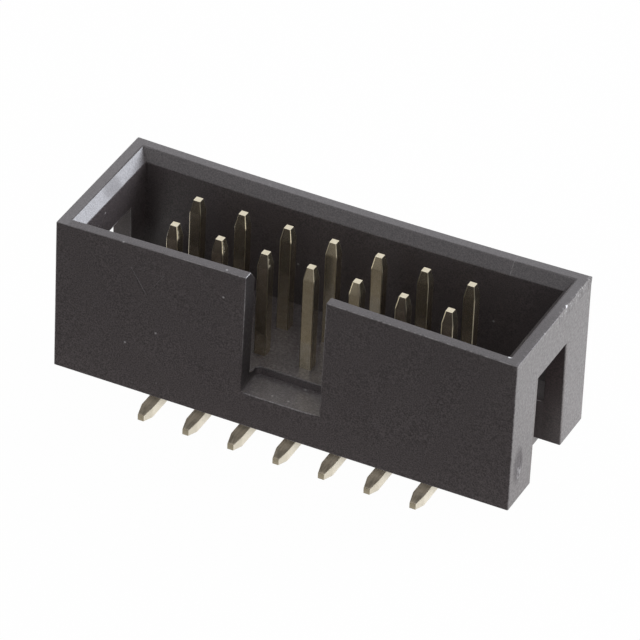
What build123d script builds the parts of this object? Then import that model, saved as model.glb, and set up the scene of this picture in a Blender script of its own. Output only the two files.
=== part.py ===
from build123d import *
import os

# Shrouded pin header for surface mounting: a moulded housing, open at the top and keyed on one
# long side, holds two rows of square-wire contacts whose tails are bent outwards under it.
# The origin is the centre of the footprint on the solder plane. X runs along the rows, the keyed
# side faces -Y and Z points up. All sizes are in millimetres.

# Grid of the contacts
pitch = 2.54  # between neighbours in a row, and between the two rows
columns = 7  # contacts in each row

# Contact wire, square in section
wire = 0.64
tip_length = 0.7  # how far each end narrows
tip_flat = 0.36  # width of the blunt end that is left
bend_radius = 0.4  # inside of the bend
neck = 0.34  # straight wire between the base and the bend
tail_reach = 4.55  # from the centre line to a tail's end
pin_height = 6.04  # from the cavity's floor to a pin's end

# Housing walls and base
end_margin = 5.08  # from the last contact's centre to the end face
housing_width = 8.85
wall = 1.05
cavity_depth = 6.35  # from the rim to the cavity's floor
base_thickness = 2.8  # from the cavity's floor to the underside of the plinth
plinth_height = 0.4  # how far the plinth stands out below the walls
plinth_width = 5.6
rim_flat = 0.57  # flat part of the rim, outside the lead-in
lead_in_depth = 0.6

# Key slot in the middle of the front wall
key_width = 4.4
key_recess = 0.83  # how far the slot runs past the wall into the floor
key_step = 0.45  # from the cavity's floor down to the slot's sill
key_corner = 0.3

# Slots in the end walls, open at the bottom
end_slot_width = 3.3
end_slot_draft = 0.15  # how much wider each side is at the wall's foot
end_slot_drop = 2.42  # from the rim to the top of the slot
base_end_gap = 0.35  # from the end wall's inner face to the end of the base

# Triangle pressed into the front wall above the first contact's tail
mark_width = 1.95
mark_height = 1.55
mark_drop = 1.35  # from the rim to the triangle's upper edge
mark_depth = 0.06
mark_slope = 45  # degrees that its sides lean outwards, as pressed into the skin

# Heights above the solder plane
plinth_z = wire + bend_radius + neck
wall_z = plinth_z + plinth_height
floor_z = plinth_z + base_thickness
sill_z = floor_z - key_step
rim_z = floor_z + cavity_depth
pin_end_z = floor_z + pin_height

# Places along the rows and across them
row_y = pitch / 2
first_x = -(columns - 1) * pitch / 2
housing_length = (columns - 1) * pitch + 2 * end_margin
cavity_length = housing_length - 2 * wall
cavity_width = housing_width - 2 * wall
base_length = cavity_length - 2 * base_end_gap

upright = (Align.CENTER, Align.CENTER, Align.MIN)


def column_x(column):
    """The place of a contact along its row, counted from 0."""
    return first_x + column * pitch


def block(length, width, low_z, high_z):
    """A plain block about the centre line, from one height to another."""
    return Pos(0, 0, low_z) * Box(length, width, high_z - low_z, align=upright)


def lead_in():
    """The sloping mouth that guides the plug into the cavity, mitred at its corners."""
    mouth = Rectangle(housing_length - 2 * rim_flat, housing_width - 2 * rim_flat)
    throat = Rectangle(cavity_length, cavity_width)
    return loft([Pos(0, 0, rim_z - lead_in_depth) * throat, Pos(0, 0, rim_z) * mouth])


def key_slot():
    """The slot for the plug's key: through the front wall and a step down into the floor."""
    front_y = -housing_width / 2
    depth = wall + key_recess
    outline = Pos(0, front_y + depth / 2) * Rectangle(key_width, depth)
    inner_corners = outline.vertices().sort_by(Axis.Y)[-2:]
    outline = fillet(inner_corners, key_corner)
    return extrude(Pos(0, 0, sill_z) * outline, rim_z - sill_z)


def end_slot():
    """The slot in the right-hand end wall, which also sets back the end of the base."""
    top = end_slot_width / 2
    foot = top + end_slot_draft
    height = rim_z - end_slot_drop - wall_z
    outline = Polygon((-foot, 0), (foot, 0), (top, height), (-top, height), align=None)
    inner_end = Plane(origin=(base_length / 2, 0, wall_z), x_dir=(0, 1, 0), z_dir=(1, 0, 0))
    return extrude(inner_end * outline, (housing_length - base_length) / 2)


def index_mark():
    """The shallow triangle that points down at the first contact of the front row."""
    half = mark_width / 2
    outline = Polygon((-half, 0), (0, -mark_height), (half, 0), align=None)
    face = Plane(origin=(first_x, -housing_width / 2, rim_z - mark_drop), z_dir=(0, -1, 0), x_dir=(1, 0, 0))
    return extrude(face * outline, -mark_depth, taper=mark_slope)


def contact_holes():
    """The square holes through the base, which the contacts fill."""
    hole = block(wire, wire, plinth_z, floor_z)
    return [Pos(column_x(column), y, 0) * hole for column in range(columns) for y in (-row_y, row_y)]


def housing():
    """The moulded housing, in one piece."""
    body = block(housing_length, housing_width, wall_z, rim_z)
    body += block(base_length, plinth_width, plinth_z, wall_z)
    body -= block(cavity_length, cavity_width, floor_z, rim_z)
    body -= lead_in()
    body -= key_slot()
    body -= end_slot()
    body -= mirror(end_slot(), about=Plane.YZ)
    body -= index_mark()
    body -= contact_holes()
    return body


def point():
    """A pointed wire end with its shoulder at z = 0, coined to a blunt square."""
    return loft([Rectangle(wire, wire), Pos(0, 0, tip_length) * Rectangle(tip_flat, tip_flat)])


def contact():
    """One contact of the front row, at x = 0: pin, bend and tail of one wire."""
    centre_radius = bend_radius + wire / 2
    pin_shoulder_z = pin_end_z - tip_length
    tail_shoulder_y = -(tail_reach - tip_length)
    tail_z = wire / 2
    corners = [(-row_y, pin_shoulder_z), (-row_y, tail_z), (tail_shoulder_y, tail_z)]
    path = Plane.YZ * FilletPolyline(*corners, radius=centre_radius)
    section = Plane(origin=path @ 0, z_dir=path % 0) * Rectangle(wire, wire)
    strip = sweep(section, path)
    pin_point = Pos(0, -row_y, pin_shoulder_z) * point()
    tail_point = Pos(0, tail_shoulder_y, tail_z) * Rot(90, 0, 0) * point()
    return strip + pin_point + tail_point


os.makedirs("parts", exist_ok=True)
export_step(housing(), "parts/housing.step")
front_contact = contact()
rear_contact = Rot(0, 0, 180) * front_contact
for column in range(columns):
    place = Pos(column_x(column), 0, 0)
    export_step(place * front_contact, f"parts/pin_front_{column + 1}.step")
    export_step(place * rear_contact, f"parts/pin_rear_{column + 1}.step")
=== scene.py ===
import math
import random
from types import SimpleNamespace

import bmesh
import bpy
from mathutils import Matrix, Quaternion, Vector


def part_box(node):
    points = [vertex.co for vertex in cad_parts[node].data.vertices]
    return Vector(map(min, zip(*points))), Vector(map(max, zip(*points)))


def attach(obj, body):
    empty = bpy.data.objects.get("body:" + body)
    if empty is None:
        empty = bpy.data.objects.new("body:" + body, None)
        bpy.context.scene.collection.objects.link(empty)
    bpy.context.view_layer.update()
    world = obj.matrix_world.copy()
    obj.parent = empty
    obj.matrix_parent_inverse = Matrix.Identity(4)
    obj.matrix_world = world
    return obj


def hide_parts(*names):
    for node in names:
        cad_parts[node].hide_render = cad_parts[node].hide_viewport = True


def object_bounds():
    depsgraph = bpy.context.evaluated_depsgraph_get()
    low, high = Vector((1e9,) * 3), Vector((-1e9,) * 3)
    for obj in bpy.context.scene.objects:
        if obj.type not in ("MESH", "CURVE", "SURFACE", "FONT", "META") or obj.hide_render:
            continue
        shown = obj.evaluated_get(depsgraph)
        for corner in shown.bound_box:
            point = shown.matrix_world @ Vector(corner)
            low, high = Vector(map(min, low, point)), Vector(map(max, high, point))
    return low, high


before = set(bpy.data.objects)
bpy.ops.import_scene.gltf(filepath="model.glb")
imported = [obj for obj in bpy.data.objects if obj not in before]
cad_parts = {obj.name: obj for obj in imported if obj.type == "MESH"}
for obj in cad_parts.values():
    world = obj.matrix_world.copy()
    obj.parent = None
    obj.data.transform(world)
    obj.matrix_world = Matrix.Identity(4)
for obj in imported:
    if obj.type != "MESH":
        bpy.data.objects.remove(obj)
cad_low, cad_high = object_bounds()

# Housing: one injection moulding in black glass-filled thermoplastic, with four walls round an
# open cavity, a key slot in the front wall and a slot in each end wall. It cooled in the mould
# with its long walls drawn in a little, and its edges are the mould's, a few hundredths round.
MM = 0.001
TOUCH = 0.01 * MM  # points nearer than this to a face count as on it
PITCH = 2.54 * MM
COLUMNS = 7
HALF_LENGTH = cad_high.x
HALF_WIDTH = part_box("housing")[1].y
RIM_Z = cad_high.z
FLOOR_Z = RIM_Z - 6.35 * MM  # the cavity's floor
WALL_Z = FLOOR_Z - 2.4 * MM  # the feet of the walls
WALL = 1.05 * MM
INNER_X = HALF_LENGTH - WALL  # the end walls' inner faces
INNER_Y = HALF_WIDTH - WALL  # the long walls' inner faces
RIM_FLAT = 0.57 * MM  # the flat part of the rim, outside the lead-in
LEAD_IN = 0.6 * MM  # depth of the sloping mouth
KEY_HALF_WIDTH = 2.2 * MM
END_WALL = 1.41 * MM  # from the end face to just past the end of the base
END_SLOT_TOP = RIM_Z - 2.42 * MM
END_SLOT_HALF_WIDTH = 1.65 * MM  # at its top
END_SLOT_FOOT = 1.85 * MM  # its corners all lie nearer to the middle than this
END_SLOT_DRAFT = 0.024  # how much each side leans out on its way down
HOLES_HALF_LENGTH = 8.1 * MM  # the contacts' holes all lie within these two
HOLES_HALF_WIDTH = 1.7 * MM

FRONT_LEAN = 0.27 * MM  # how far the front wall's rim leans in beside the key slot
BACK_BOW = 0.24 * MM  # how far the back wall's rim bows in at mid-length
UNBOWED = 2 * MM  # nothing this near to the centre line moves when the walls draw in
BOW_CUTS = 9  # cuts across the walls, midway between the contacts, that let them bow
LEFT_SLOT_SHIFT = 0.13 * MM  # how far the left-hand end's slot sits towards the back
LEFT_SLOT_DROP = 0.11 * MM  # how much lower its top is

EDGE_RADIUS = 0.06 * MM
SHARP_END_EDGE = 0.3  # the right-hand rim's edge has this share of the radius
FLAT_ANGLE = math.radians(25)  # faces that meet at less than this have no edge to round
WORN_DEPTH = 0.09 * MM  # how far wear has eaten into the right-hand end's rim
WORN_DROP = 0.55 * MM  # how far down the end face it reaches
WORN_FROM_Y = 0.5 * MM
WORN_CUTS = 60
WEAR_SEED = 4


def welded(node):
    """A CAD node's loose triangles joined into clean flat faces, as a new bmesh."""
    shape = bmesh.new()
    shape.from_mesh(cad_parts[node].data)
    bmesh.ops.remove_doubles(shape, verts=shape.verts, dist=0.002 * MM)
    bmesh.ops.dissolve_limit(
        shape, angle_limit=math.radians(0.5), verts=shape.verts, edges=shape.edges)
    return shape


def plain_mesh(shape, name):
    """A mesh with only the bmesh's corners and faces, free of the import's split normals."""
    shape.verts.index_update()
    corners = [tuple(v.co) for v in shape.verts]
    faces = [[v.index for v in f.verts] for f in shape.faces]
    mesh = bpy.data.meshes.new(name)
    mesh.from_pydata(corners, [], faces)
    mesh.validate()
    mesh.update()
    return mesh


def draw_in(point):
    """The place of a point after the long walls have drawn in; the base between them stays."""
    if abs(point.y) < UNBOWED:
        return point
    share = max(0.0, point.z - WALL_Z) / (RIM_Z - WALL_Z)
    along = abs(point.x) / HALF_LENGTH
    if point.y < 0:
        key_share = KEY_HALF_WIDTH / HALF_LENGTH
        amount = FRONT_LEAN * (1 - along) / (1 - key_share)
    else:
        amount = -BACK_BOW * (1 - along ** 2)
    return point + Vector((0, share * amount, 0))


def shift_left_slot(shape):
    """Moves the left-hand end's slot along its wall, whose faces stay flat."""
    for vert in shape.verts:
        in_wall = vert.co.x < -HALF_LENGTH + END_WALL
        if in_wall and abs(vert.co.y) < END_SLOT_FOOT and vert.co.z < END_SLOT_TOP + TOUCH:
            vert.co.y += LEFT_SLOT_SHIFT
            if vert.co.z > END_SLOT_TOP - TOUCH:
                vert.co.z -= LEFT_SLOT_DROP


def on_end_face(vert, low_z):
    """Whether a corner lies on the right-hand end face at or above a height."""
    return vert.co.x > HALF_LENGTH - TOUCH and vert.co.z > low_z - TOUCH


def wear_end_edge(shape):
    """Eats unevenly into the right-hand end's upper edge, from near its middle to the back."""
    wear = random.Random(WEAR_SEED)
    drop_z = RIM_Z - WORN_DROP
    end_face = [f for f in shape.faces if all(on_end_face(v, WALL_Z) for v in f.verts)]
    around = {part for f in end_face for part in (*f.verts, *f.edges, f)}
    bmesh.ops.bisect_plane(shape, geom=list(around), plane_co=(0, 0, drop_z), plane_no=(0, 0, 1))
    strip = next(f for f in shape.faces if all(on_end_face(v, drop_z) for v in f.verts))
    level = [e for e in strip.edges if abs(e.verts[0].co.z - e.verts[1].co.z) < TOUCH]
    bmesh.ops.subdivide_edges(shape, edges=level, cuts=WORN_CUTS)
    upper = sorted((v for v in shape.verts if on_end_face(v, RIM_Z)), key=lambda v: v.co.y)
    bite = 1.0
    for top in upper[:-1]:
        if top.co.y > WORN_FROM_Y:
            bite = 0.5 * bite + 0.5 * wear.uniform(0.0, 1.0)
            top.co.x -= bite * WORN_DEPTH


def in_worn_strip(a, b):
    """Whether an edge's two ends lie in the worn strip at the right-hand rim."""
    at_end = min(a.x, b.x) > HALF_LENGTH - 1.2 * WORN_DEPTH
    return at_end and max(a.y, b.y) > WORN_FROM_Y and min(a.z, b.z) > RIM_Z - 1.5 * WORN_DROP


def bevel_weights(mesh):
    """Marks the outer edges to be rounded and keeps the inner and worn ones crisp."""
    shape = bmesh.new()
    shape.from_mesh(mesh)
    shape.verts.ensure_lookup_table()
    weight = shape.edges.layers.float.new("bevel_weight_edge")
    for edge in shape.edges:
        a, b = edge.verts
        middle = (a.co + b.co) / 2
        in_holes = abs(middle.y) < HOLES_HALF_WIDTH and abs(middle.x) < HOLES_HALF_LENGTH
        if in_worn_strip(a.co, b.co):
            edge.smooth = False
            continue
        if edge.calc_face_angle() < FLAT_ANGLE:
            continue
        if in_holes or not edge.is_convex:
            edge.smooth = False
            continue
        sharp = on_end_face(a, RIM_Z) and on_end_face(b, RIM_Z)
        edge[weight] = SHARP_END_EDGE if sharp else 1.0
    shape.to_mesh(mesh)
    shape.free()


def housing_piece():
    """The housing as a mesh of its own: the CAD solid, drawn in and with rounded edges."""
    shape = welded("housing")
    for cut in range(BOW_CUTS):
        x = (cut - BOW_CUTS / 2) * PITCH
        everything = shape.verts[:] + shape.edges[:] + shape.faces[:]
        bmesh.ops.bisect_plane(shape, geom=everything, plane_co=(x, 0, 0), plane_no=(1, 0, 0))
    wear_end_edge(shape)
    shift_left_slot(shape)
    for vert in shape.verts:
        vert.co = draw_in(vert.co)
    mesh = plain_mesh(shape, "housing_shell")
    shape.free()
    bevel_weights(mesh)
    blank = bpy.data.objects.new("housing_blank", mesh)
    bpy.context.scene.collection.objects.link(blank)
    bevel = blank.modifiers.new("rounded edges", "BEVEL")
    bevel.limit_method = "WEIGHT"
    bevel.width = EDGE_RADIUS
    bevel.segments = 2
    bevel.use_clamp_overlap = False
    bevel.harden_normals = True
    for polygon in mesh.polygons:
        polygon.use_smooth = True
    evaluated = blank.evaluated_get(bpy.context.evaluated_depsgraph_get())
    finished = bpy.data.meshes.new_from_object(evaluated)
    bpy.data.objects.remove(blank)
    piece = bpy.data.objects.new("housing_moulding", finished)
    bpy.context.scene.collection.objects.link(piece)
    return piece


def add_node(tree, kind, sockets=(), **settings):
    """Adds a node; each socket is given a value, or the output of another node."""
    made = tree.nodes.new(kind)
    for name, value in settings.items():
        setattr(made, name, value)
    for name, value in dict(sockets).items():
        if isinstance(value, bpy.types.NodeSocket):
            tree.links.new(value, made.inputs[name])
        else:
            made.inputs[name].default_value = value
    return made


def new_material(name):
    """An empty node material, its tree and its output."""
    material = bpy.data.materials.new(name)
    material.use_nodes = True
    tree = material.node_tree
    tree.nodes.clear()
    return material, tree, tree.nodes.new("ShaderNodeOutputMaterial")


def maths(tree, operation, *values):
    """A Math node's result; each value is a number or another node's output."""
    sockets = dict(enumerate(values))
    return add_node(tree, "ShaderNodeMath", sockets, operation=operation).outputs[0]


def product(tree, *factors):
    """Several masks or numbers multiplied."""
    result = factors[0]
    for factor in factors[1:]:
        result = maths(tree, "MULTIPLY", result, factor)
    return result


def strongest(tree, *masks):
    """The largest of several masks."""
    result = masks[0]
    for mask in masks[1:]:
        result = maths(tree, "MAXIMUM", result, mask)
    return result


def plus(tree, base, mask, share):
    """A value with a share of a mask added to it."""
    return maths(tree, "MULTIPLY_ADD", mask, share, base)


def outside(tree, mask):
    """The opposite of a mask."""
    return maths(tree, "SUBTRACT", 1.0, mask)


def between(tree, value, low, high):
    """0 up to one value and 1 from another, with a smooth step from the one to the other."""
    return add_node(tree, "ShaderNodeMapRange", {
        "Value": value, "From Min": low, "From Max": high},
        interpolation_type="SMOOTHSTEP").outputs[0]


def ramp(tree, value, low, high, first, last):
    """One result up to one value and another from a second, with an even slope between them."""
    return add_node(tree, "ShaderNodeMapRange", {
        "Value": value, "From Min": low, "From Max": high,
        "To Min": first, "To Max": last}).outputs[0]


def noise(tree, place, scale, detail, roughness=0.5):
    """Cloudy noise round 0.5, in lumps of about 1/scale metres."""
    return add_node(tree, "ShaderNodeTexNoise", {
        "Vector": place, "Scale": scale, "Detail": detail, "Roughness": roughness}).outputs["Fac"]


def vector_maths(tree, operation, *values):
    """A Vector Math node's result."""
    sockets = dict(enumerate(values))
    return add_node(tree, "ShaderNodeVectorMath", sockets, operation=operation).outputs[0]


def blended(tree, share, under, over, kind="MIX"):
    """One colour laid over another, by a mask."""
    return add_node(tree, "ShaderNodeMixRGB", {
        "Fac": share, "Color1": under, "Color2": over}, blend_type=kind).outputs["Color"]


def surface(tree):
    """Where a point of the surface lies, how far from the middle, and which way it faces."""
    place = add_node(tree, "ShaderNodeTexCoord").outputs["Object"]
    normal = add_node(tree, "ShaderNodeNewGeometry").outputs["Normal"]
    at = SimpleNamespace(place=place)
    for vector, names in ((place, ("x", "y", "z")), (normal, ("turn_x", "turn_y", "turn_z"))):
        parts = add_node(tree, "ShaderNodeSeparateXYZ", {"Vector": vector}).outputs
        vars(at).update(zip(names, parts))
    for vector, names in ((place, ("from_x", "from_y", "from_z")),
                          (normal, ("side_x", "side_y", "side_z"))):
        whole = vector_maths(tree, "ABSOLUTE", vector)
        parts = add_node(tree, "ShaderNodeSeparateXYZ", {"Vector": whole}).outputs
        vars(at).update(zip(names, parts))
    return at


def spot(tree, place, centre, reach):
    """1 in the middle of an oval spot and 0 outside it; both are in millimetres."""
    moved = vector_maths(tree, "SUBTRACT", place, Vector(centre) * MM)
    scaled = vector_maths(tree, "DIVIDE", moved, Vector(reach) * MM)
    distance = add_node(
        tree, "ShaderNodeVectorMath", {0: scaled}, operation="LENGTH").outputs["Value"]
    return between(tree, distance, 1.0, 0.4)


DEEP_BLACK = (0.051, 0.0425, 0.043, 1)
WARM_BLACK = (0.060, 0.0502, 0.0502, 1)
SLOT_SHADE_TINT = (0.80, 0.70, 0.68, 1)  # painted shade, warm, on the end slots' sides
PALE_DUST_AND_HIGHLIGHT = (0.42, 0.405, 0.40, 1)  # dust, scuffed plastic and painted highlights
BARE_CHIP = (0.75, 0.75, 0.75, 1)
EVEN_GLOSS = 0.37

# Pale specks of dust and torn plastic, and brighter chips, all in millimetres. The specks are
# listed by the axis that their surface faces.
SPECK = 0.085
SPECK_DEPTH = 0.3  # how far a speck reaches in from its surface
SPECKS = {
    "x": [(-11.65, -1.09, 9.44), (-11.65, 0.26, 8.02)],
    "y": [(-3.37, -4.3, 9.02), (-8.70, -4.42, 4.54), (-7.01, -4.42, 5.65), (8.03, 3.25, 6.87),
          (-2.86, 3.3, 6.68)],
    "z": [(-2.56, -4.19, 10.53), (-3.35, -3.98, 10.53), (-8.95, -4.32, 10.53),
          (12.68, -1.21, 10.5), (12.66, 2.6, 10.5), (12.66, 3.3, 10.5),
          (-0.64, -3.87, 3.73), (0.27, -3.90, 3.73), (0.58, -2.60, 3.73)]}
CHIP = 0.13
CHIPS = [(12.03, -3.84, 10.53), (12.68, 1.47, 10.5)]
KNIT_LINE_X = 8.76 * MM  # where the flow fronts met in the back wall
GATE = Vector((12.7, -3.5, 4.0))  # torn-off gate on the right-hand end, in millimetres
SMEAR = (-11.9, 0.1, 10.2)  # duller patch on the left-hand lead-in


def speck_masks(tree, place):
    """One mask for each speck, long enough across its surface to reach it."""
    masks = []
    for axis, centres in SPECKS.items():
        reach = [SPECK, SPECK, SPECK]
        reach["xyz".index(axis)] = SPECK if axis == "z" else SPECK_DEPTH
        masks += [spot(tree, place, centre, reach) for centre in centres]
    return masks


def key_slot_side(tree, at):
    """1 on the key slot's left-hand side, which faces right; it gets painted shade."""
    return product(tree, between(tree, at.turn_x, 0.8, 0.95),
                   between(tree, at.from_x, KEY_HALF_WIDTH + 0.6 * MM, KEY_HALF_WIDTH + 0.1 * MM),
                   between(tree, at.z, FLOOR_Z - 0.5 * MM, FLOOR_Z))


def skin_colour(tree, at, shaded_slot_side):
    """Near black with a fine mottle, paler towards the walls' feet and the left-hand end, with
    painted shade on the key slot's left-hand side and in the end slots.
    """
    mottle = ramp(tree, noise(tree, at.place, 15000.0, 1.0), 0.3, 0.7, 0.5, 1.5)
    paler = product(tree, ramp(tree, at.z, 2 * MM, RIM_Z, 1.1, 0.88),
                    ramp(tree, at.x, -HALF_LENGTH, HALF_LENGTH, 1.06, 0.94))
    colour = blended(tree, noise(tree, at.place, 260.0, 3.0), DEEP_BLACK, WARM_BLACK)
    colour = vector_maths(tree, "MULTIPLY", colour, product(tree, mottle, paler))
    # Painted shade on the key slot's left-hand side
    colour = vector_maths(tree, "MULTIPLY", colour, plus(tree, 1.0, shaded_slot_side, -0.65))
    # Painted shade, warm-tinted, on the end slots' sides
    in_end_slot = product(
        tree, between(tree, at.from_x, HALF_LENGTH - 1.5 * MM, HALF_LENGTH - 1.4 * MM),
        between(tree, at.from_y, END_SLOT_FOOT + 0.1 * MM, END_SLOT_FOOT + 0.05 * MM),
        between(tree, at.z, END_SLOT_TOP + 0.03 * MM, END_SLOT_TOP + 0.01 * MM))
    return blended(tree, in_end_slot, colour, SLOT_SHADE_TINT, "MULTIPLY")


def settled_dust(tree, at, facing_up, clumped):
    """Dust on the floor and the sill, and more in the floor's back corners."""
    down_inside = between(tree, at.z, FLOOR_Z + 0.3 * MM, FLOOR_Z + 0.1 * MM)
    on_sill = between(tree, at.z, FLOOR_Z - 0.1 * MM, FLOOR_Z - 0.3 * MM)
    amount = plus(tree, plus(tree, 0.005, on_sill, 0.03), clumped, 0.17)
    inside = product(tree, between(tree, at.from_x, INNER_X + 0.03 * MM, INNER_X - 0.01 * MM),
                     between(tree, at.from_y, INNER_Y + 0.045 * MM, INNER_Y + 0.005 * MM))
    corners = product(tree, between(tree, at.from_x, 9.5 * MM, 11.0 * MM),
                      between(tree, at.z, FLOOR_Z + 2.5 * MM, FLOOR_Z + 0.5 * MM), inside,
                      between(tree, at.y, 1.5 * MM, 2.5 * MM))
    return strongest(tree, product(tree, facing_up, down_inside, amount),
                     product(tree, corners, 0.2))


def knit_line(tree, at, clumps):
    """The line on the back wall's rim where the flow fronts met."""
    distance = maths(tree, "ABSOLUTE", maths(tree, "SUBTRACT", at.x, KNIT_LINE_X))
    return product(tree, between(tree, distance, 0.035 * MM, 0.012 * MM),
                   between(tree, at.y, 3.0 * MM, 3.1 * MM),
                   between(tree, at.z, RIM_Z - 0.65 * MM, RIM_Z - LEAD_IN),
                   between(tree, clumps, 0.3, 0.6), 0.22)


def rim_wear_and_light(tree, at, facing_up, clumps, clumped):
    """The scuffed band along the right-hand rim, and painted light on the top of the rim's back
    and left.
    """
    band = product(
        tree, between(tree, at.x, HALF_LENGTH - 0.24 * MM, HALF_LENGTH - 0.1 * MM),
        between(tree, at.z, RIM_Z - WORN_DROP, RIM_Z - 0.3 * WORN_DROP),
        between(tree, clumps, 0.48, 0.68),
        plus(tree, 0.14, between(tree, at.y, 0.2 * MM, 1.0 * MM), 0.4))
    # Painted light on the top of the rim's back and left
    painted_rim_light = product(
        tree, facing_up, between(tree, at.z, RIM_Z - 0.05 * MM, RIM_Z),
        strongest(tree, between(tree, at.y, -1 * MM, 3 * MM),
                  between(tree, at.x, -HALF_LENGTH + 0.7 * MM, -HALF_LENGTH + 0.5 * MM)),
        plus(tree, 0.06, clumped, 0.05))
    return strongest(tree, band, painted_rim_light)


def edge_scuffs_and_highlights(tree, at, clumps):
    """The rounded outer edges, the index mark's sides and some inner edges, lightly scuffed and
    given painted highlights.
    """
    pairs = [product(tree, at.side_x, at.side_y), product(tree, at.side_y, at.side_z),
             product(tree, at.side_z, at.side_x)]
    on_outside = strongest(
        tree, between(tree, at.from_x, HALF_LENGTH - 0.5 * MM, HALF_LENGTH - 0.3 * MM),
        between(tree, at.from_y, HALF_WIDTH - 0.525 * MM, HALF_WIDTH - 0.425 * MM))
    outer = product(tree, between(tree, strongest(tree, *pairs), 0.15, 0.4), on_outside,
                    plus(tree, 0.14, between(tree, at.x, -7 * MM, -6 * MM), 0.26))
    left_slot = product(
        tree, between(tree, at.x, -INNER_X + 0.25 * MM, -INNER_X + 0.05 * MM),
        between(tree, at.z, END_SLOT_TOP + 0.2 * MM, END_SLOT_TOP + 0.1 * MM))
    key_mouth = product(
        tree, between(tree, at.from_x, KEY_HALF_WIDTH + 0.3 * MM, KEY_HALF_WIDTH + 0.1 * MM),
        between(tree, at.z, RIM_Z - 1.2 * MM, RIM_Z - 0.8 * MM))
    inner = product(tree, between(tree, strongest(tree, pairs[0], pairs[2]), 0.15, 0.4),
                    strongest(tree, left_slot, key_mouth), 0.45)
    return product(tree, strongest(tree, outer, inner), between(tree, clumps, 0.3, 0.7))


def slot_edge_highlight(tree, at):
    """A painted highlight: a pale thin strip of the left-hand end wall's inner face, round its
    slot.
    """
    below = maths(tree, "SUBTRACT", END_SLOT_TOP - LEFT_SLOT_DROP, at.z)
    half_width = plus(tree, END_SLOT_HALF_WIDTH + LEFT_SLOT_SHIFT, below, END_SLOT_DRAFT)
    beside = maths(tree, "SUBTRACT", at.y, half_width)
    strips = []
    for out, other in ((beside, below), (product(tree, below, -1.0), product(tree, beside, -1.0))):
        strips.append(product(tree, between(tree, out, 0.13 * MM, 0.11 * MM),
                              between(tree, out, 0.03 * MM, 0.05 * MM),
                              between(tree, other, -0.09 * MM, 0.0)))
    at_wall = product(tree, between(tree, at.x, -INNER_X + 0.05 * MM, -INNER_X + 0.02 * MM),
                      between(tree, at.x, -INNER_X - 0.07 * MM, -INNER_X - 0.05 * MM),
                      between(tree, at.y, -2.2 * MM, -2.1 * MM))
    share = plus(tree, 0.15, between(tree, at.y, 0.5 * MM, 0.0), 0.35)
    return product(tree, strongest(tree, *strips), at_wall, share)


def key_slot_highlight(tree, at, clumped):
    """A painted highlight: a pale line down the key slot's right-hand edge."""
    edge_x = KEY_HALF_WIDTH
    return product(tree, between(tree, at.x, edge_x + 0.09 * MM, edge_x + 0.04 * MM),
                   between(tree, at.x, edge_x - 0.1 * MM, edge_x - 0.05 * MM),
                   between(tree, at.y, -4.0 * MM, -4.1 * MM),
                   between(tree, at.z, FLOOR_Z - 0.5 * MM, FLOOR_Z), clumped, 0.35)


def marked_colour(tree, at, colour):
    """The skin's colour with its dust, specks, scuffs and lines, its painted highlights and
    painted rim light, and the brighter chips.
    """
    facing_up = between(tree, at.turn_z, 0.85, 0.98)
    clumps = noise(tree, at.place, 6500.0, 4.0, 0.7)
    clumped = between(tree, clumps, 0.4, 0.75)
    cells = add_node(tree, "ShaderNodeTexVoronoi", {"Vector": at.place, "Scale": 520.0})
    stray = between(tree, cells.outputs["Distance"], 0.034, 0.018)
    gate_burr = spot(tree, at.place, GATE + Vector((0, 0.14, -0.5)), (0.3, 0.32, 0.6))
    pale_dust_and_highlights = strongest(
        tree, settled_dust(tree, at, facing_up, clumped), product(tree, stray, 0.2),
        product(tree, strongest(tree, *speck_masks(tree, at.place)), 0.5),
        product(tree, gate_burr, clumped, 0.8), knit_line(tree, at, clumps),
        rim_wear_and_light(tree, at, facing_up, clumps, clumped), edge_scuffs_and_highlights(tree, at, clumps),
        slot_edge_highlight(tree, at), key_slot_highlight(tree, at, clumped))
    chips = [spot(tree, at.place, centre, (CHIP, CHIP, CHIP)) for centre in CHIPS]
    colour = blended(tree, pale_dust_and_highlights, colour, PALE_DUST_AND_HIGHLIGHT)
    return blended(tree, strongest(tree, *chips), colour, BARE_CHIP)


def skin_roughness(tree, at, grain, gate, shaded_slot_side):
    """Satin gloss that follows the grain, more even on the lead-ins and duller at the gate."""
    mouth_x = HALF_LENGTH - RIM_FLAT
    mouth_y = HALF_WIDTH - RIM_FLAT
    on_lead_in = product(
        tree, between(tree, at.z, RIM_Z - LEAD_IN - 0.02 * MM, RIM_Z - LEAD_IN),
        between(tree, at.z, RIM_Z, RIM_Z - 0.02 * MM),
        between(tree, at.from_x, mouth_x + 0.02 * MM, mouth_x),
        between(tree, at.from_y, mouth_y + 0.015 * MM, mouth_y - 0.005 * MM))
    uneven = maths(tree, "SUBTRACT", ramp(tree, grain, 0.3, 0.7, 0.30, 0.50), EVEN_GLOSS)
    rough = plus(tree, EVEN_GLOSS, uneven, plus(tree, 1.0, on_lead_in, -0.7))
    rough = plus(tree, rough, spot(tree, at.place, SMEAR, (0.8, 1.1, 0.6)), 0.09)
    rough = plus(tree, rough, shaded_slot_side, 0.05)
    return plus(tree, rough, gate, 0.3)


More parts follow.
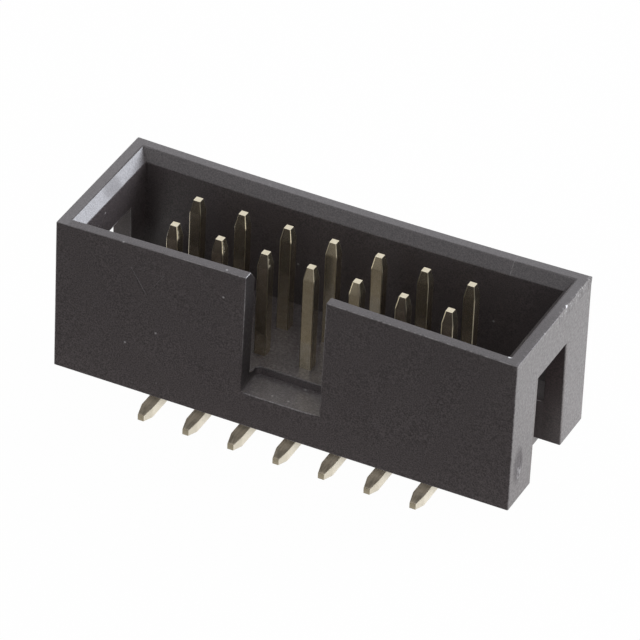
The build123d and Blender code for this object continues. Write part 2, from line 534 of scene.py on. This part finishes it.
def black_moulding():
    """Black glass-filled plastic: satin skin with grain, dust where it settles, its marks, and
    painted shade and highlights.
    """
    material, tree, output = new_material("black_moulding")
    at = surface(tree)
    shaded_slot_side = key_slot_side(tree, at)
    grain = noise(tree, at.place, 7000.0, 3.0)
    glass = noise(tree, at.place, 2600.0, 2.0)
    gate = spot(tree, at.place, GATE, (0.3, 0.68, 1.35))
    hollow = spot(tree, at.place, GATE + Vector((0, 0.02, 0.25)), (0.3, 0.4, 0.8))
    torn = product(tree, plus(tree, gate, hollow, -1.8), 5.0)
    relief = maths(tree, "ADD", plus(tree, grain, glass, 0.3), torn)
    bump = add_node(tree, "ShaderNodeBump", {
        "Height": relief, "Strength": 0.22, "Distance": 0.01 * MM})
    skin = add_node(tree, "ShaderNodeBsdfPrincipled", {
        "Base Color": marked_colour(tree, at, skin_colour(tree, at, shaded_slot_side)),
        "Roughness": skin_roughness(tree, at, grain, gate, shaded_slot_side),
        "Normal": bump.outputs["Normal"], "IOR": 1.6})
    tree.links.new(skin.outputs["BSDF"], output.inputs["Surface"])
    return material


housing = housing_piece()
housing.data.materials.clear()
housing.data.materials.append(black_moulding())
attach(housing, "root")
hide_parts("housing")

# Contacts: fourteen pieces of 0.64 mm square copper-alloy wire, drawn with slightly round edges,
# coined to a point at both ends, bent and flashed with pale gold over nickel. They are pressed
# through the housing's base, and the rear row is the front row turned half round.
WIRE = 0.64 * MM
WIRE_EDGE = 0.04 * MM
TIP_LENGTH = 0.7 * MM
PIN_FLAT = 0.38 * MM  # width of a pin's cut end
TAIL_FLAT = 0.34 * MM
SHOULDER = 0.04 * MM  # half the length over which a point's shoulder is rounded
BEND_RADIUS = 0.72 * MM  # at the wire's centre line
BEND_STEPS = 12


def point_steps(flat):
    """A pointed end as (distance from the end, width share), with its shoulder kept crisp."""
    distances = [0, TIP_LENGTH / 2, TIP_LENGTH - 3 * SHOULDER, TIP_LENGTH - SHOULDER,
                 TIP_LENGTH + SHOULDER, TIP_LENGTH + 3 * SHOULDER]
    flat_share = flat / WIRE
    return [(d, min(1.0, flat_share + (1 - flat_share) * d / TIP_LENGTH)) for d in distances]


def contact_line():
    """One contact's centre line as (place, width share) from its pin's end to its tail's end."""
    pin_low, pin_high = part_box("pin_front_1")
    row_y = pin_high.y - WIRE / 2
    line = []
    for distance, share in point_steps(PIN_FLAT):
        line.append((Vector((0, row_y, pin_high.z - distance)), share))
    centre = Vector((0, row_y - BEND_RADIUS, WIRE / 2 + BEND_RADIUS))
    for step in range(BEND_STEPS + 1):
        turn = math.pi / 2 * step / BEND_STEPS
        line.append((centre + BEND_RADIUS * Vector((0, math.cos(turn), -math.sin(turn))), 1.0))
    for distance, share in reversed(point_steps(TAIL_FLAT)):
        line.append((Vector((0, pin_low.y + distance, WIRE / 2)), share))
    return line


def contact_curve():
    """The centre line as a poly curve whose radius carries the width."""
    curve = bpy.data.curves.new("contact_line", "CURVE")
    curve.dimensions = "3D"
    line = contact_line()
    spline = curve.splines.new("POLY")
    spline.points.add(len(line) - 1)
    for point, (place, share) in zip(spline.points, line):
        point.co = (*place, 1)
        point.radius = share
    return bpy.data.objects.new("contact_rows", curve)


def contact_rows_tree():
    """Geometry Nodes: sweeps a rounded square along the line and repeats it in two rows."""
    tree = bpy.data.node_groups.new("contact rows", "GeometryNodeTree")
    face = tree.interface
    face.new_socket("Line", in_out="INPUT", socket_type="NodeSocketGeometry")
    for name, kind in (("Wire", "Float"), ("Edge", "Float"), ("Pitch", "Float"),
                       ("Columns", "Int"), ("Finish", "Material")):
        face.new_socket(name, in_out="INPUT", socket_type="NodeSocket" + kind)
    face.new_socket("Contacts", in_out="OUTPUT", socket_type="NodeSocketGeometry")
    given = tree.nodes.new("NodeGroupInput").outputs
    square = add_node(tree, "GeometryNodeCurvePrimitiveQuadrilateral", {
        "Width": given["Wire"], "Height": given["Wire"]})
    rounded = add_node(tree, "GeometryNodeFilletCurve", {
        "Curve": square.outputs[0], "Radius": given["Edge"], "Count": 4}, mode="POLY")
    width_share = tree.nodes.new("GeometryNodeInputRadius")
    swept = add_node(tree, "GeometryNodeCurveToMesh", {
        "Curve": given["Line"], "Profile Curve": rounded.outputs[0],
        "Scale": width_share.outputs[0], "Fill Caps": True})
    reach = product(tree, maths(tree, "SUBTRACT", given["Columns"], 1.0), given["Pitch"])
    start = add_node(tree, "ShaderNodeCombineXYZ", {"X": product(tree, reach, -0.5)})
    step = add_node(tree, "ShaderNodeCombineXYZ", {"X": given["Pitch"]})
    places = add_node(tree, "GeometryNodeMeshLine", {
        "Count": given["Columns"], "Start Location": start.outputs[0], "Offset": step.outputs[0]})
    both = tree.nodes.new("GeometryNodeJoinGeometry")
    for turn in (math.pi, 0.0):
        row = add_node(tree, "GeometryNodeInstanceOnPoints", {
            "Points": places.outputs[0], "Instance": swept.outputs[0], "Rotation": (0, 0, turn)})
        tree.links.new(row.outputs[0], both.inputs[0])
    real = add_node(tree, "GeometryNodeRealizeInstances", {"Geometry": both.outputs[0]})
    fold = tree.nodes.new("GeometryNodeInputMeshEdgeAngle")
    gentle = maths(tree, "LESS_THAN", fold.outputs["Unsigned Angle"], math.radians(10))
    all_smooth = add_node(tree, "GeometryNodeSetShadeSmooth", {"Geometry": real.outputs[0]})
    smooth = add_node(tree, "GeometryNodeSetShadeSmooth", {
        "Geometry": all_smooth.outputs[0], "Shade Smooth": gentle}, domain="EDGE")
    finished = add_node(tree, "GeometryNodeSetMaterial", {
        "Geometry": smooth.outputs[0], "Material": given["Finish"]})
    output = tree.nodes.new("NodeGroupOutput")
    tree.links.new(finished.outputs[0], output.inputs["Contacts"])
    return tree


DULL_GOLD = (0.76, 0.675, 0.49, 1)
PALE_GOLD = (0.88, 0.80, 0.62, 1)
TAIL_GOLD = (0.82, 0.785, 0.69, 1)  # paler on the tails, as nickel shows through
TARNISH = (0.64, 0.54, 0.40, 1)
BARE_CUT = (0.44, 0.415, 0.36, 1)  # darkens the tails' cut ends
# a painted highlight on rough, burred edges
HIGHLIGHT_GOLD = (0.98, 0.86, 0.58, 1)
DRAWN_OUT = 0.06  # the drawing lines' noise runs along the wire at this share of its scale


def wire_surface(tree):
    """The surface, with masks for a contact's parts and the noise that its finish follows."""
    at = surface(tree)
    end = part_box("pin_rear_1")[1]
    shoulder_z = end.z - TIP_LENGTH
    at.on_tail = between(tree, at.z, 1.7 * MM, 1.0 * MM)
    at.coined = between(tree, at.z, shoulder_z - 0.1 * MM, shoulder_z + 0.1 * MM)
    at.straight = product(tree, outside(tree, at.coined), outside(tree, at.on_tail))
    at.pin_cut = maths(tree, "GREATER_THAN", at.z, end.z - TOUCH / 2)
    at.tail_cut = maths(tree, "GREATER_THAN", at.from_y, end.y - TOUCH / 2)
    at.half_width = ramp(tree, at.z, shoulder_z, end.z, WIRE / 2, PIN_FLAT / 2)
    at.tail_top = product(tree, between(tree, at.side_z, 0.7, 0.95), at.on_tail)
    along_wire = add_node(tree, "ShaderNodeCombineXYZ", {
        "X": 1.0, "Y": plus(tree, 1.0, at.on_tail, DRAWN_OUT - 1),
        "Z": plus(tree, DRAWN_OUT, at.on_tail, 1 - DRAWN_OUT)}).outputs[0]
    drawn = vector_maths(tree, "MULTIPLY", at.place, along_wire)
    at.lines = noise(tree, drawn, 9000.0, 3.0)
    at.luck = noise(tree, drawn, 1100.0, 1.0)
    at.stain = noise(tree, at.place, 4200.0, 5.0, 0.65)
    return at


def wire_edges(tree, at):
    """Masks of the rounded edges, which are rougher and get painted shade, and of the edges and
    coined faces that get a painted highlight.
    """
    across_wire = add_node(tree, "ShaderNodeMix", {
        "Factor": at.on_tail, "A": at.side_y, "B": at.side_z}).outputs[0]
    edge = between(tree, product(tree, at.side_x, across_wire), 0.05, 0.25)
    from_centre = maths(tree, "PINGPONG", at.from_x, PITCH / 2)
    inward = maths(tree, "SUBTRACT", at.half_width, from_centre)
    column_x = maths(tree, "SNAP", maths(tree, "ADD", at.x, PITCH / 2), PITCH)
    in_column = maths(tree, "SUBTRACT", at.x, column_x)
    left_margin = product(tree, between(tree, inward, 0.06 * MM, 0.04 * MM),
                          between(tree, in_column, 0.0, -0.1 * MM), outside(tree, at.on_tail))
    on_front = between(tree, at.turn_y, -0.1, -0.3)
    on_right = between(tree, at.turn_x, -0.1, 0.1)
    on_left = strongest(tree, outside(tree, on_right), left_margin)
    in_left_half = between(tree, at.x, 1 * MM, -1 * MM)
    in_right_half = between(tree, at.x, -1 * MM, 1 * MM)

    # The left edges of the first two columns get no painted shade and stay mirror bright
    bright = product(tree, between(tree, at.x, -4 * MM, -5 * MM),
                     between(tree, at.turn_x, 0.0, -0.1))
    edge = strongest(tree, product(tree, edge, outside(tree, bright)),
                     product(tree, left_margin, on_front, in_right_half))
    highlit_edges = strongest(
        tree, product(tree, at.coined, on_right, in_left_half),
        product(tree, at.coined, on_left, in_right_half),
        product(tree, at.straight, on_left, between(tree, at.x, 4 * MM, 6 * MM)),
        product(tree, at.straight, on_right, between(tree, at.x, 6 * MM, 9 * MM), 0.7))
    painted_highlight = product(tree, highlit_edges, edge, on_front, between(tree, at.luck, 0.36, 0.5))

    # Painted highlights on the right-hand coined faces of the front row's first pins
    facet_highlights = product(
        tree, at.coined, between(tree, at.turn_x, 0.7, 0.9), between(tree, at.y, 0.0, -1 * MM),
        between(tree, at.from_y, 1.3 * MM, 1.4 * MM), between(tree, at.x, -1.5 * MM, -2.2 * MM),
        between(tree, at.stain, 0.40, 0.55), 0.25)
    return edge, strongest(tree, painted_highlight, facet_highlights)


def wire_colour(tree, at, edge, painted_highlight):
    """Pale gold: worn on the tails and tarnished on their tops, with painted highlights on some
    edges, painted shade along the other edges, on the coined tapers and on the tails' sides, and
    painted light along the tails' tops.
    """
    colour = blended(tree, between(tree, at.stain, 0.3, 0.7), DULL_GOLD, PALE_GOLD)
    colour = blended(tree, product(tree, at.on_tail, 0.6), colour, TAIL_GOLD)
    tarnished = plus(tree, 0.5, between(tree, at.stain, 0.25, 0.6), 0.4)
    colour = blended(tree, product(tree, at.tail_top, tarnished), colour, TARNISH)
    colour = blended(tree, at.tail_cut, colour, BARE_CUT, "MULTIPLY")
    # Painted highlight on some edges and coined faces
    colour = blended(tree, painted_highlight, colour, HIGHLIGHT_GOLD)

    # Painted shade along the rounded edges that carry no painted highlight
    painted_edge_shade = product(tree, maths(tree, "SUBTRACT", edge, painted_highlight), outside(tree, at.on_tail),
                       plus(tree, 0.65, between(tree, at.luck, 0.4, 0.6), -0.4))
    # Painted shade on the coined tapers' flat faces
    shaded_taper = product(tree, at.coined, outside(tree, strongest(tree, edge, at.pin_cut)))
    shade = plus(tree, plus(tree, 1.0, at.pin_cut, -0.28), shaded_taper, -0.4)
    shade = maths(tree, "SUBTRACT", shade, painted_edge_shade)

    # Along a tail's top: painted light on the middle, painted shade on the taper, a painted
    # highlight on the edge at the cut, and drawing lines
    top = product(tree, between(tree, at.from_y, 3.1 * MM, 3.35 * MM), 0.2)
    top = plus(tree, top, between(tree, at.from_y, 3.5 * MM, 4.05 * MM), -0.67)
    top = plus(tree, top, between(tree, at.from_y, 4.42 * MM, 4.52 * MM), 0.3)
    scored = maths(tree, "SUBTRACT", between(tree, at.lines, 0.3, 0.7), 0.5)
    shade = plus(tree, shade, at.tail_top, plus(tree, top, scored, 0.3))
    # Painted shade on the tails' right-hand sides, more on their tapers
    shaded_tail_side = product(tree, at.on_tail, between(tree, at.turn_x, 0.3, 0.7))
    on_taper = between(tree, at.from_y, 3.75 * MM, 3.95 * MM)
    shade = plus(tree, shade, shaded_tail_side, plus(tree, -0.07, on_taper, -0.09))
    return vector_maths(tree, "MULTIPLY", colour, shade)


def gold_flash():
    """Pale gold flash on drawn wire: bright flats, rough coined edges and bare cut ends, with
    painted highlights and painted shade on its edges, tapers and tails.
    """
    material, tree, output = new_material("gold_flash")
    at = wire_surface(tree)
    edge, painted_highlight = wire_edges(tree, at)

    rough = ramp(tree, at.lines, 0.0, 1.0, 0.07, 0.17)
    for mask, share in ((at.coined, 0.1), (edge, 0.2), (painted_highlight, 0.4), (at.on_tail, 0.28)):
        rough = plus(tree, rough, mask, share)

    near_end = between(tree, at.from_y, 3.6 * MM, 4.4 * MM)
    dull = product(tree, at.tail_top, plus(tree, 0.8, near_end, -0.35))
    metallic = outside(tree, dull)
    for mask, share in ((at.side_y, -0.025), (maths(tree, "MAXIMUM", at.turn_x, 0.0), -0.01),
                        (at.on_tail, -0.27), (painted_highlight, -0.85)):
        metallic = plus(tree, metallic, mask, share)

    bump = add_node(tree, "ShaderNodeBump", {
        "Height": plus(tree, at.lines, at.stain, 0.6), "Strength": 0.25, "Distance": 0.004 * MM})
    metal = add_node(tree, "ShaderNodeBsdfPrincipled", {
        "Base Color": wire_colour(tree, at, edge, painted_highlight), "Metallic": metallic,
        "Roughness": rough, "Normal": bump.outputs["Normal"]})
    tree.links.new(metal.outputs["BSDF"], output.inputs["Surface"])
    return material


def contacts_piece():
    """Runs the tree on the centre line and keeps its result as a plain mesh."""
    line = contact_curve()
    bpy.context.scene.collection.objects.link(line)
    tree = contact_rows_tree()
    sizes = {"Wire": WIRE, "Edge": WIRE_EDGE, "Pitch": PITCH, "Columns": COLUMNS,
             "Finish": gold_flash()}
    rows = line.modifiers.new("rows", "NODES")
    rows.node_group = tree
    for item in tree.interface.items_tree:
        if item.name in sizes:
            rows[item.identifier] = sizes[item.name]
    evaluated = line.evaluated_get(bpy.context.evaluated_depsgraph_get())
    mesh = bpy.data.meshes.new_from_object(evaluated)
    bpy.data.objects.remove(line)
    piece = bpy.data.objects.new("contacts", mesh)
    bpy.context.scene.collection.objects.link(piece)
    return piece


contacts = contacts_piece()
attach(contacts, "root")
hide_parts(*[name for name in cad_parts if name.startswith("pin_")])

# Setting: a white table under soft lights and an even sky. The main lamp stands behind and to the
# right, where the left-hand lead-in mirrors it, and a weak one stands behind and to the left.
TABLE_HALF_SIDE = 3.0
TABLE_PAINT = (0.5, 0.49, 0.485, 1)
TABLE_WHITE = (1, 1, 1, 1)
MIRRORED_TABLE = [  # (y in millimetres, grey, how cool it is) of the table as gloss sees it, a painted light that falls off to the front
    (-30, 0.17, 0.88), (-18, 0.066, 0.82), (-11, 0.066, 0.82), (-6, 0.10, 0.82),
    (-4.4, 0.72, 0.97), (8, 1.0, 1.0)]
SHADOW_UNDER_HOUSING = 0.28  # painted shadow: how bright gloss sees the table under the housing
GLOW_IN_THE_OPEN = 1.70  # and beside it, a painted glow brighter than white
CAMERA_SHARE = 0.985  # how much of the seen white is light; the rest takes the shadow


def mirrored_table(tree, at):
    """The table's painted light and shade in gloss: dark in front of the housing, in painted
    shadow under it, glowing white behind.
    """
    near, far = MIRRORED_TABLE[0][0], MIRRORED_TABLE[-1][0]
    depth = ramp(tree, at.y, near * MM, far * MM, 0.0, 1.0)
    glow = add_node(tree, "ShaderNodeValToRGB", {"Fac": depth})
    stops = glow.color_ramp.elements
    for y, _, _ in MIRRORED_TABLE[1:-1]:
        stops.new((y - near) / (far - near))
    for stop, (y, grey, cool) in zip(stops, MIRRORED_TABLE):
        stop.position = (y - near) / (far - near)
        stop.color = (grey, grey * (1 + cool) / 2, grey * cool, 1)
    # Painted shadow under the housing and a painted glow around it, as gloss sees the table
    in_open = strongest(tree, between(tree, at.from_x, 11 * MM, 13 * MM),
                        between(tree, at.from_y, 0.8 * MM, 3.2 * MM))
    light = ramp(tree, in_open, 0.0, 1.0, SHADOW_UNDER_HOUSING, GLOW_IN_THE_OPEN)
    return vector_maths(tree, "MULTIPLY", glow.outputs["Color"], light)


def white_floor():
    """A matt table that the camera sees as white, and gloss sees in painted light, white behind
    and dim in front.
    """
    material, tree, output = new_material("white_floor")
    paths = add_node(tree, "ShaderNodeLightPath").outputs
    seen = blended(tree, paths["Is Camera Ray"], mirrored_table(tree, surface(tree)), TABLE_WHITE)
    matt = add_node(tree, "ShaderNodeBsdfDiffuse", {"Color": TABLE_PAINT})
    white = add_node(tree, "ShaderNodeEmission", {"Color": seen, "Strength": 1.0})
    share = plus(tree, paths["Is Glossy Ray"], paths["Is Camera Ray"], CAMERA_SHARE)
    mixed = add_node(tree, "ShaderNodeMixShader", {
        "Fac": share, 1: matt.outputs[0], 2: white.outputs[0]})
    tree.links.new(mixed.outputs[0], output.inputs["Surface"])
    return material


def area_light(name, place, aim, width, height, power, tint):
    """A soft light at a place in metres, turned towards a point."""
    lamp = bpy.data.lights.new(name, "AREA")
    lamp.shape = "RECTANGLE"
    lamp.size = width
    lamp.size_y = height
    lamp.energy = power
    lamp.color = tint
    light = bpy.data.objects.new(name, lamp)
    light.location = place
    light.rotation_mode = "QUATERNION"
    light.rotation_quaternion = (Vector(aim) - Vector(place)).to_track_quat("-Z", "Y")
    bpy.context.scene.collection.objects.link(light)
    return light


def table():
    """The floor as one square face."""
    mesh = bpy.data.meshes.new("table")
    side = TABLE_HALF_SIDE
    corners = [(-side, -side, 0), (side, -side, 0), (side, side, 0), (-side, side, 0)]
    mesh.from_pydata(corners, [], [(0, 1, 2, 3)])
    mesh.materials.append(white_floor())
    floor = bpy.data.objects.new("table", mesh)
    bpy.context.scene.collection.objects.link(floor)
    return floor


table()
middle = (cad_low + cad_high) / 2
area_light("key_light", place=(0.267, 0.268, 0.176), aim=middle, width=0.24, height=0.26,
           power=2.0, tint=(0.93, 0.97, 1.06))
area_light("rim_light", place=(-0.16, 0.24, 0.22), aim=middle, width=0.3, height=0.3,
           power=0.08, tint=(0.95, 0.98, 1.04))

world = bpy.data.worlds.new("studio")
world.use_nodes = True
sky = world.node_tree.nodes["Background"].inputs
sky["Color"].default_value = (0.98, 0.99, 1.02, 1)
sky["Strength"].default_value = 0.9
bpy.context.scene.world = world
bpy.context.scene.view_settings.view_transform = "Standard"

# Camera: a long lens above the keyed side and to the right, slightly rolled. It looks at a point
# on the header's upright centre line.
AIM = Vector((0, 0, 6.205 * MM))
DISTANCE = 315.85 * MM
AZIMUTH = math.radians(24.743)
ELEVATION = math.radians(35.161)
ROLL = math.radians(2.639)
LENS = 354.53

camera = bpy.data.objects.new("camera", bpy.data.cameras.new("camera"))
back = Vector((math.sin(AZIMUTH) * math.cos(ELEVATION),
               -math.cos(AZIMUTH) * math.cos(ELEVATION), math.sin(ELEVATION)))
camera.location = AIM + DISTANCE * back
camera.rotation_mode = "QUATERNION"
camera.rotation_quaternion = (-back).to_track_quat("-Z", "Y") @ Quaternion((0, 0, 1), ROLL)
camera.data.lens = LENS
camera.data.clip_start = 0.01
camera.data.clip_end = 20
bpy.context.scene.collection.objects.link(camera)
bpy.context.scene.camera = camera
